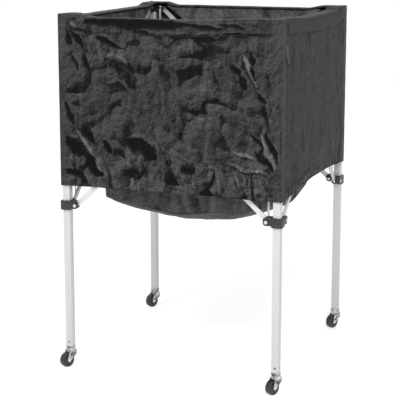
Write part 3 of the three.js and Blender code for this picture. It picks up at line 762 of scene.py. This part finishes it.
def pouch_wall(side, index):
    """A wall of the pouch: it leans in from its top hem, with slanted upper corners. Low down it rounds the
    corners as the floor's rim does: its distance d becomes d / (1 + |x/d|^n)^(1/n)."""
    columns, rows = 150, 120
    below_flange, slant_bow, seam_width = 0.0022, 0.08, 0.002
    side_hem, top_hem = 0.014, 0.025
    seed = 500 + 40 * index
    top = flat_top - below_flange

    def lean(height):
        """How far out from the middle the wall stands at a height."""
        return half - mix(pouch_top_inset, pouch_bottom_inset, (top - height) / (top - pouch_rim))

    share = np.linspace(0, 1, rows)[:, None]
    across = np.linspace(-1, 1, columns)[None, :]
    drop = (1 - share) * (top - pouch_rim)
    top_reach, cut_reach = pouch_cuts[side]
    slant = np.clip(drop / pouch_cut_drop, 0, 1)
    narrowed = ease((drop - pouch_cut_drop) / (pouch_slit_drop - pouch_cut_drop))
    reach = mix(top_reach, cut_reach, slant + slant_bow * np.sin(math.pi * slant))
    width = half - mix(reach, pouch_slit_reach, narrowed)
    level = mix(pouch_rim, top, share)
    away = lean(level)
    closed = ease((pouch_open - level) / (pouch_open - pouch_closed))
    width = mix(width, away, closed)
    slope = across * width / away
    low = rim_height(slope, 1.0) + 0.0005
    z = mix(low, top, share)
    away = lean(z)
    bend = 1 + closed * ((1 + np.abs(slope) ** squareness) ** (1 / squareness) - 1)
    x = across * width
    loose = ease((top - z) / 0.10)
    hang = ripple(x / 0.060, z / 0.30, seed) + 0.5 * ripple(x / 0.028, z / 0.16, seed + 1)
    fine = crumple(x, z, seed + 2)
    edge = np.minimum(width - np.abs(x), 0.05)
    open_here = 1 - closed
    hem = ease((side_hem - edge) / seam_width) * open_here
    stitched = bell(edge - side_hem, seam_width) * open_here + bell(top - z - top_hem, seam_width)
    relief = loose * (0.0034 * hang + 0.0009 * fine) + 0.0006 * hem - 0.0007 * stitched
    relief *= ease((z - low + 0.004) / 0.03)
    points = joined(slope * (away + relief) / bend, -(away + relief) / bend, z)
    # Painted light: the walls are painted lighter against the shade inside the bag, with a painted
    # highlight along the stitches and painted light and shade on the hanging folds and crumple
    shade = 0.42 + 0.6 * creased(x, z, seed + 2) + 0.25 * stitched + 0.3 * loose * np.clip(hang, -1, 1)
    made = piece(f"pouch_panel_{side}", turned(points, index), nylon, joined(x, z), shade)
    thicken(made, cloth)
    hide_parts(f"{side}_pouch_wall")
    return made


for index, side in enumerate(sides):
    wall = pouch_wall(side, index)
    area = 2 * (half - pouch_slit_reach) * pouch_wall_length
    area += 2 * pouch_slit_reach * (pouch_closed - pouch_rim)
    gathers(wall, side)


def pouch_floor(name, quarter_turns):
    """Half of the sagging floor: a rounded square that dips to its middle, with gathers out to its rim."""
    columns, rows = 168, 84
    tuck, below_rim, gather_rise, crumple_rise = 0.0016, 0.0006, 0.0050, 0.0010
    lift, half_gap, seed, tiny = 0.0010, 0.0003, 700, 1e-9
    reach = half - pouch_bottom_inset + tuck
    a = np.linspace(-1, 1, columns)[None, :]
    b = np.linspace(0, 1, rows)[:, None]
    ring = np.maximum(np.abs(a), b)
    spread = (np.abs(a) ** squareness + b ** squareness) ** (1 / squareness)
    shrink = np.where(ring > 0, ring / np.maximum(spread, tiny), 1)
    x = reach * a * shrink
    y = -reach * b * shrink
    z = mix(pouch_rim - pouch_sag, rim_height(x, y - tiny) - below_rim, ring ** 2)
    around = np.arctan2(y, x) + quarter_turns * math.pi / 2
    cart = turned(joined(x, y, z), quarter_turns)
    cart_x, cart_y = cart[..., 0], cart[..., 1]
    gather = ripple((9 + ring) * np.cos(around), (9 + ring) * np.sin(around), seed) * ring ** 2
    gather *= ease((1.02 - ring) / 0.2)
    fine = crumple(cart_x, cart_y, seed + 4)
    z += gather_rise * gather + crumple_rise * fine * ease((1 - ring) / 0.1) + lift
    points = turned(joined(x, y + half_gap, z), quarter_turns)
    # Painted shade: the floor is painted darker overall against the light bounced from below, with painted
    # light and shade on its crumple and gathers
    shade = -0.12 + 0.5 * creased(cart_x, cart_y, seed + 4) + 0.5 * np.clip(gather, -1, 1)
    made = piece(name.replace("pouch_floor", "pouch_base"), points, nylon, cart[..., :2], shade)
    thicken(made, cloth)
    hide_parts(name)
    return made


for name, quarter_turns in (("pouch_floor_front", 0), ("pouch_floor_back", 2)):
    leaf = pouch_floor(name, quarter_turns)
    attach(leaf, name)
    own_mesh(leaf)


def corner_binding(index):
    """Tape over the seam between two skirts: up the outside, over the top fold and along the mitre."""
    width, thickness, rows, across, fold_rows, mitre_rows = 0.0102, 0.0008, 150, 13, 6, 16
    seam_offset, seam_width, seam_depth, tape_rise, waver = 0.0034, 0.0008, 0.0005, 0.0011, 0.0004
    below_hem, seed = 0.0006, 900 + index
    outer = corner_out * math.sqrt(2) + skirt_corner
    inner = -flange_inset * math.sqrt(2)
    w = np.linspace(-width / 2, width / 2, across)[None, :]
    # Upright rows face outwards, the fold turns by a quarter circle, and rows along the mitre face upwards
    fold = np.linspace(0, math.pi / 2, fold_rows + 1)[1:]
    turn = np.concatenate([np.zeros(rows), fold, np.full(mitre_rows, math.pi / 2)])
    reach = outer - fold_radius * (1 - np.cos(turn))
    reach[-mitre_rows:] = np.linspace(outer - fold_radius, inner, mitre_rows + 1)[1:]
    z = bag_top - fold_radius * (1 - np.sin(turn))
    z[:rows] = np.linspace(skirt_hem - below_hem, bag_top - fold_radius, rows)
    upright = (np.arange(len(turn)) < rows + fold_rows / 2)[:, None]
    level = np.cumsum(np.hypot(np.diff(reach, prepend=reach[0]), np.diff(z, prepend=z[0])))[:, None]
    swell = tape_rise * (1 - (2 * w / width) ** 6) + waver * ripple(level / 0.03, w / 0.02, seed)
    sewn = bell(np.abs(w) - seam_offset, seam_width)
    swell -= seam_depth * sewn
    bow = np.where(upright, skirt_corner * (1 - np.cos(w / skirt_corner)), 0)
    radial = reach[:, None] - bow + swell * np.cos(turn)[:, None]
    lateral = np.where(upright, (skirt_corner + swell) * np.sin(w / skirt_corner), w)
    height = z[:, None] + swell * np.sin(turn)[:, None]
    diagonal = 1 / math.sqrt(2)
    x, y = (lateral - radial) * diagonal, (-lateral - radial) * diagonal
    points = at_corner(joined(x, y, height), index)
    # Painted light over the tape and painted shade in its two stitch grooves, with random tone on top
    shade = 0.12 - 0.45 * sewn + 0.3 * ripple(level / 0.02, w / 0.01, seed + 5)
    made = piece(f"corner_binding_{corners[index]}", points, nylon, joined(w, level), shade)
    thicken(made, thickness)
    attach(made, f"{corners[index]}_leg")


for index in range(len(corners)):
    corner_binding(index)


def strap(name, index, from_z, to_z, layer, body):
    """One half of a lift strap: a flat band with a wider eye at its end, from a pin towards the other."""
    rows, across = 90, 7
    half_width, eye_swell, eye_length, waver = 0.0034, 0.00216, 0.008, 0.00015
    low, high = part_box(f"lift_strap_{corners[index]}")
    size = high - low
    thin = 0 if size.x < size.y else 1
    wide = 1 - thin
    thickness = size[thin] / 2
    middle = (low + high) / 2
    share = np.linspace(0, 1, rows)[:, None]
    w = np.linspace(-1, 1, across)[None, :]
    from_end = share * abs(to_z - from_z)
    width = half_width + eye_swell * bell(from_end, eye_length)
    points = np.zeros((rows, across, 3))
    points[..., wide] = middle[wide] + w * width
    points[..., thin] = middle[thin] + layer * 0.5 * thickness + waver * np.sin(share * 40)
    points[..., 2] = mix(from_z, to_z, share)
    made = piece(name, points, webbing, joined(w * width, from_end))
    thicken(made, thickness * 0.9, offset=0)
    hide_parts(f"lift_strap_{corners[index]}")
    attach(made, body)


for index, corner in enumerate(corners):
    above, below = top_pivot + strap_past_pin, slider_pivot - strap_past_pin
    strap(f"strap_upper_{corner}", index, above, top_pivot - strap_reach, 1, f"{corner}_leg")
    strap(f"strap_lower_{corner}", index, below, slider_pivot + strap_reach, -1, f"{corner}_slider")


def dome(radius, height, place, axis, segments=28):
    """A rivet's head: a short rim, then a crown that follows an ellipse. Its foot is sunk."""
    rim, sunk = 0.3, -0.0008
    turn = np.linspace(0, math.pi / 2, 8)
    crown = [(radius * math.cos(t), height * (rim + (1 - rim) * math.sin(t))) for t in turn[:-1]]
    profile = [(0, sunk), (radius * 0.98, sunk), (radius, 0), *crown, (0, height)]
    points, faces = revolved(profile, segments)
    return stood(points, place, axis), faces


rivet_radius, rivet_height = 0.0047, 0.0024
# Ends of rivets: the axis they lie along, how far from the leg's middle they end, and which way they face
rivet_ends = {
    "top_bracket": [("x", 0.00915, -1), ("y", 0.01095, -1)],
    "slider": [("x", 0.0160, 1), ("y", 0.0160, 1), ("x", 0.00165, -1), ("y", 0.01095, -1)],
}
for index, corner in enumerate(corners):
    carriers = (("top_bracket", top_pivot, f"{corner}_leg"), ("slider", slider_pivot, f"{corner}_slider"))
    for carrier, z, body in carriers:
        heads = []
        for way, depth, sign in rivet_ends[carrier]:
            outside = -depth * sign
            spot = (pivot_offset, outside) if way == "x" else (outside, pivot_offset)
            axis = (0, -sign) if way == "x" else (-sign, 0)
            place = at_corner(np.array([*spot, z]), index)
            heads.append(dome(rivet_radius, rivet_height, place, turned_way(np.array([*axis, 0.0]), index)))
        made = solid(f"rivet_heads_{carrier}_{corner}", heads, steel)
        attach(made, body)


def wheel(corner):
    """Rubber wheel: hub, recessed web, rim and a tread with round shoulders, closed round its bore."""
    segments, radius, half_width, shoulder = 72, 0.0205, 0.0080, 0.0018
    joint = joints[f"{corner}_wheel_spin"]
    outer = [(radius + shoulder * (math.cos(t) - 1), half_width + shoulder * (math.sin(t) - 1))
             for t in np.linspace(0, math.pi / 2, 7)]
    rim = [(0.0158, half_width), (0.0152, 0.0078), (0.0146, 0.0066)]
    web = [(0.0142, 0.0064), (0.0088, 0.0064), (0.0082, 0.0068)]
    hub = [(0.0078, 0.0078), (0.0072, half_width), (0.0036, half_width), (0.0032, 0.0076)]
    upper = [(radius, 0), (radius, 0.0004), *outer, *rim, *web, *hub]
    profile = [(out, -height) for out, height in reversed(upper[1:])] + upper
    points, faces = revolved(profile, segments)
    last = (len(profile) - 1) * segments
    faces += [[last + i, last + (i + 1) % segments, (i + 1) % segments, i] for i in range(segments)]
    made = solid(f"caster_wheel_{corner}", [(stood(points, joint["pos_m"], joint["axis"]), faces)], rubber)
    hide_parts(f"wheel_{corner}")
    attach(made, f"{corner}_wheel")
    made.modifiers.new("crease", "EDGE_SPLIT").split_angle = math.radians(50)


def rounded_post(half_width, low, high):
    """A square post with rounded corners, closed at both ends."""
    radius = 0.001
    straight = half_width - radius
    turn = np.linspace(0, math.pi / 2, 5) + np.arange(4)[:, None] * math.pi / 2
    x = radius * np.cos(turn) + straight * np.array([1, -1, -1, 1])[:, None]
    y = radius * np.sin(turn) + straight * np.array([1, 1, -1, -1])[:, None]
    points = joined(x.ravel(), y.ravel(), np.array([low, high])[:, None]).reshape(-1, 3)
    caps = [list(range(turn.size - 1, -1, -1)), list(range(turn.size, 2 * turn.size))]
    return points, grid_faces(2, turn.size, ring=True) + caps


def collar(index):
    """Swivel pin, two races and the plug in the leg, with the heads of the screws that hold the plug."""
    height, plug_half, plug_height, screw_height, gap = 0.0118, 0.00865, 0.036, 0.014, 0.0003
    screw_radius, screw_rise = 0.0031, 0.0012
    corner = corners[index]
    top = leg_bottom - gap
    bottom = top - height
    middle = (top + bottom) / 2
    profile = [
        (0, bottom - 0.0048), (0.0052, bottom - 0.0048), (0.0060, bottom - 0.0042),
        (0.0060, bottom - 0.0035), (0.0040, bottom - 0.0035), (0.0040, bottom), (0.0122, bottom),
        (0.0131, bottom + 0.0004), (0.0134, bottom + 0.0012), (0.0134, middle - 0.0018),
        (0.0130, middle - 0.0012), (0.0104, middle - 0.0010), (0.0104, middle + 0.0010),
        (0.0134, middle + 0.0012), (0.0140, middle + 0.0018), (0.0140, top - 0.0014),
        (0.0137, top - 0.0005), (0.0129, top), (0, top),
    ]
    leg = leg_places[index]
    place = np.array([leg.x, leg.y, 0])
    points, faces = revolved(profile, 64)
    post_points, post_faces = rounded_post(plug_half, top - 0.001, top + plug_height)
    parts = [(points + place, faces), (post_points + place, post_faces)]
    for way in (np.array([0.0, -1.0, 0.0]), np.array([-1.0, 0.0, 0.0])):
        spot = at_corner(way * (tube_half + gap) + np.array([0, 0, leg_bottom + screw_height]), index)
        parts.append(dome(screw_radius, screw_rise, spot, turned_way(way, index), 20))
    made = solid(f"caster_collar_{corner}", parts, chrome)
    made.modifiers.new("crease", "EDGE_SPLIT").split_angle = math.radians(40)
    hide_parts(f"caster_stem_{corner}")
    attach(made, f"{corner}_leg")


for index, corner in enumerate(corners):
    wheel(corner)
    collar(index)


def dress(node, finish, rounding):
    """A solid of the frame keeps its shape and gets a finish, softened edges and smooth round faces."""
    shown = frame["nodes"][node]
    mesh = shown.data
    mesh.materials.clear()
    mesh.materials.append(finish.material)
    mesh.polygons.foreach_set("use_smooth", [True] * len(mesh.polygons))
    shown.modifiers.new("weld", "WELD").merge_threshold = 0.00002
    soften = shown.modifiers.new("soften", "BEVEL")
    soften.width = rounding
    soften.segments = 2
    soften.limit_method = "ANGLE"
    soften.angle_limit = math.radians(33)
    soften.harden_normals = True


for corner in corners:
    dress(f"leg_{corner}", tube, 0.0002)
    dress(f"top_bracket_{corner}", moulding, 0.0005)
    dress(f"slider_{corner}", moulding, 0.0005)
    dress(f"caster_yoke_{corner}", chrome, 0.0003)
    dress(f"caster_axle_{corner}", steel, 0.0003)
lean = math.pi / 2 - arm_angle
for index, side in enumerate(sides):
    for arm, slope in (("falling", 1), ("rising", -1)):
        sign = slope * (1 if index < 2 else -1)
        rotation = (0, sign * lean, 0) if index % 2 == 0 else (-sign * lean, 0, 0)
        bar = aluminium_finish(f"aluminium_bar_{side}_{arm}", "aluminium_bar", bar_tone, rotation)
        dress(f"{side}_arm_{arm}", bar, 0.0002)
    dress(f"{side}_cross_rivet", steel, 0.0003)

# Floor and studio: white to the camera and to reflections, plain soft light for everything else


def white_seen(tree, shader, strength, keep):
    """Gives white light to the camera and to reflections, with or without what the shader shows."""

    def node(kind, *sources):
        made = tree.nodes.new(kind)
        for source, socket in zip(sources, made.inputs):
            tree.links.new(source, socket)
        return made

    rays = node("ShaderNodeLightPath").outputs
    bounced = node("ShaderNodeMath", rays["Is Glossy Ray"], rays["Is Transmission Ray"])
    seen = node("ShaderNodeMath", rays["Is Camera Ray"], bounced.outputs[0])
    bounced.operation = seen.operation = "MAXIMUM"
    light = node("ShaderNodeEmission")
    light.inputs["Strength"].default_value = strength
    both = node("ShaderNodeAddShader", light.outputs[0], *([shader] if keep else []))
    return node("ShaderNodeMixShader", seen.outputs[0], shader, both.outputs[0]).outputs[0]


floor_mesh = bpy.data.meshes.new("studio_floor")
floor_reach = 6.0
floor_corners = [(x * floor_reach, y * floor_reach, 0) for x, y in ((-1, -1), (1, -1), (1, 1), (-1, 1))]
floor_mesh.from_pydata(floor_corners, [], [(0, 1, 2, 3)])
floor = bpy.data.objects.new("studio_floor", floor_mesh)
bpy.context.scene.collection.objects.link(floor)
floor_paint = bpy.data.materials.new("studio_floor")
floor_paint.use_nodes = True
floor_tree = floor_paint.node_tree
paint = floor_tree.nodes["Principled BSDF"]
paint.inputs["Base Color"].default_value = (0.82, 0.82, 0.82, 1)
paint.inputs["Roughness"].default_value = 0.7
surface = floor_tree.nodes["Material Output"].inputs["Surface"]
floor_tree.links.new(white_seen(floor_tree, paint.outputs[0], 0.5, True), surface)
floor_mesh.materials.append(floor_paint)

world = bpy.data.worlds.new("studio")
bpy.context.scene.world = world
world.use_nodes = True
sky = world.node_tree.nodes["Background"]
sky.inputs["Color"].default_value = (1, 1, 1, 1)
sky.inputs["Strength"].default_value = 0.56
backdrop = world.node_tree.nodes["World Output"].inputs["Surface"]
world.node_tree.links.new(white_seen(world.node_tree, sky.outputs[0], 1.0, False), backdrop)


lit_point = Vector((0, 0, 0.7))


def lamp(name, place, size, power):
    """A soft rectangular light that shines on the middle of the cart."""
    light = bpy.data.lights.new(name, "AREA")
    light.shape = "RECTANGLE"
    light.size, light.size_y = size
    light.energy = power
    made = bpy.data.objects.new(name, light)
    made.location = place
    made.rotation_euler = (lit_point - Vector(place)).to_track_quat("-Z", "Y").to_euler()
    bpy.context.scene.collection.objects.link(made)


lamp("key_light", (-1.0, -2.4, 3.0), (1.4, 1.0), 38)
lamp("side_light", (1.5, -2.5, 2.5), (1.2, 1.2), 46)

# Camera fitted to the photograph: focal length and width in its pixels, and degrees below level and round
focal_pixels, picture_pixels, sensor_width = 1241.9, 400, 36
tilt, heading = 10.56, 21.01
camera_data = bpy.data.cameras.new("photo_camera")
camera = bpy.data.objects.new("photo_camera", camera_data)
bpy.context.scene.collection.objects.link(camera)
camera.location = (1.2531, -3.3251, 1.2268)
camera.rotation_euler = (math.radians(90 - tilt), 0, math.radians(heading))
camera_data.sensor_width = sensor_width
camera_data.lens = focal_pixels / picture_pixels * sensor_width
camera_data.shift_y = -0.1
bpy.context.scene.camera = camera
bpy.context.scene.view_settings.view_transform = "Standard"
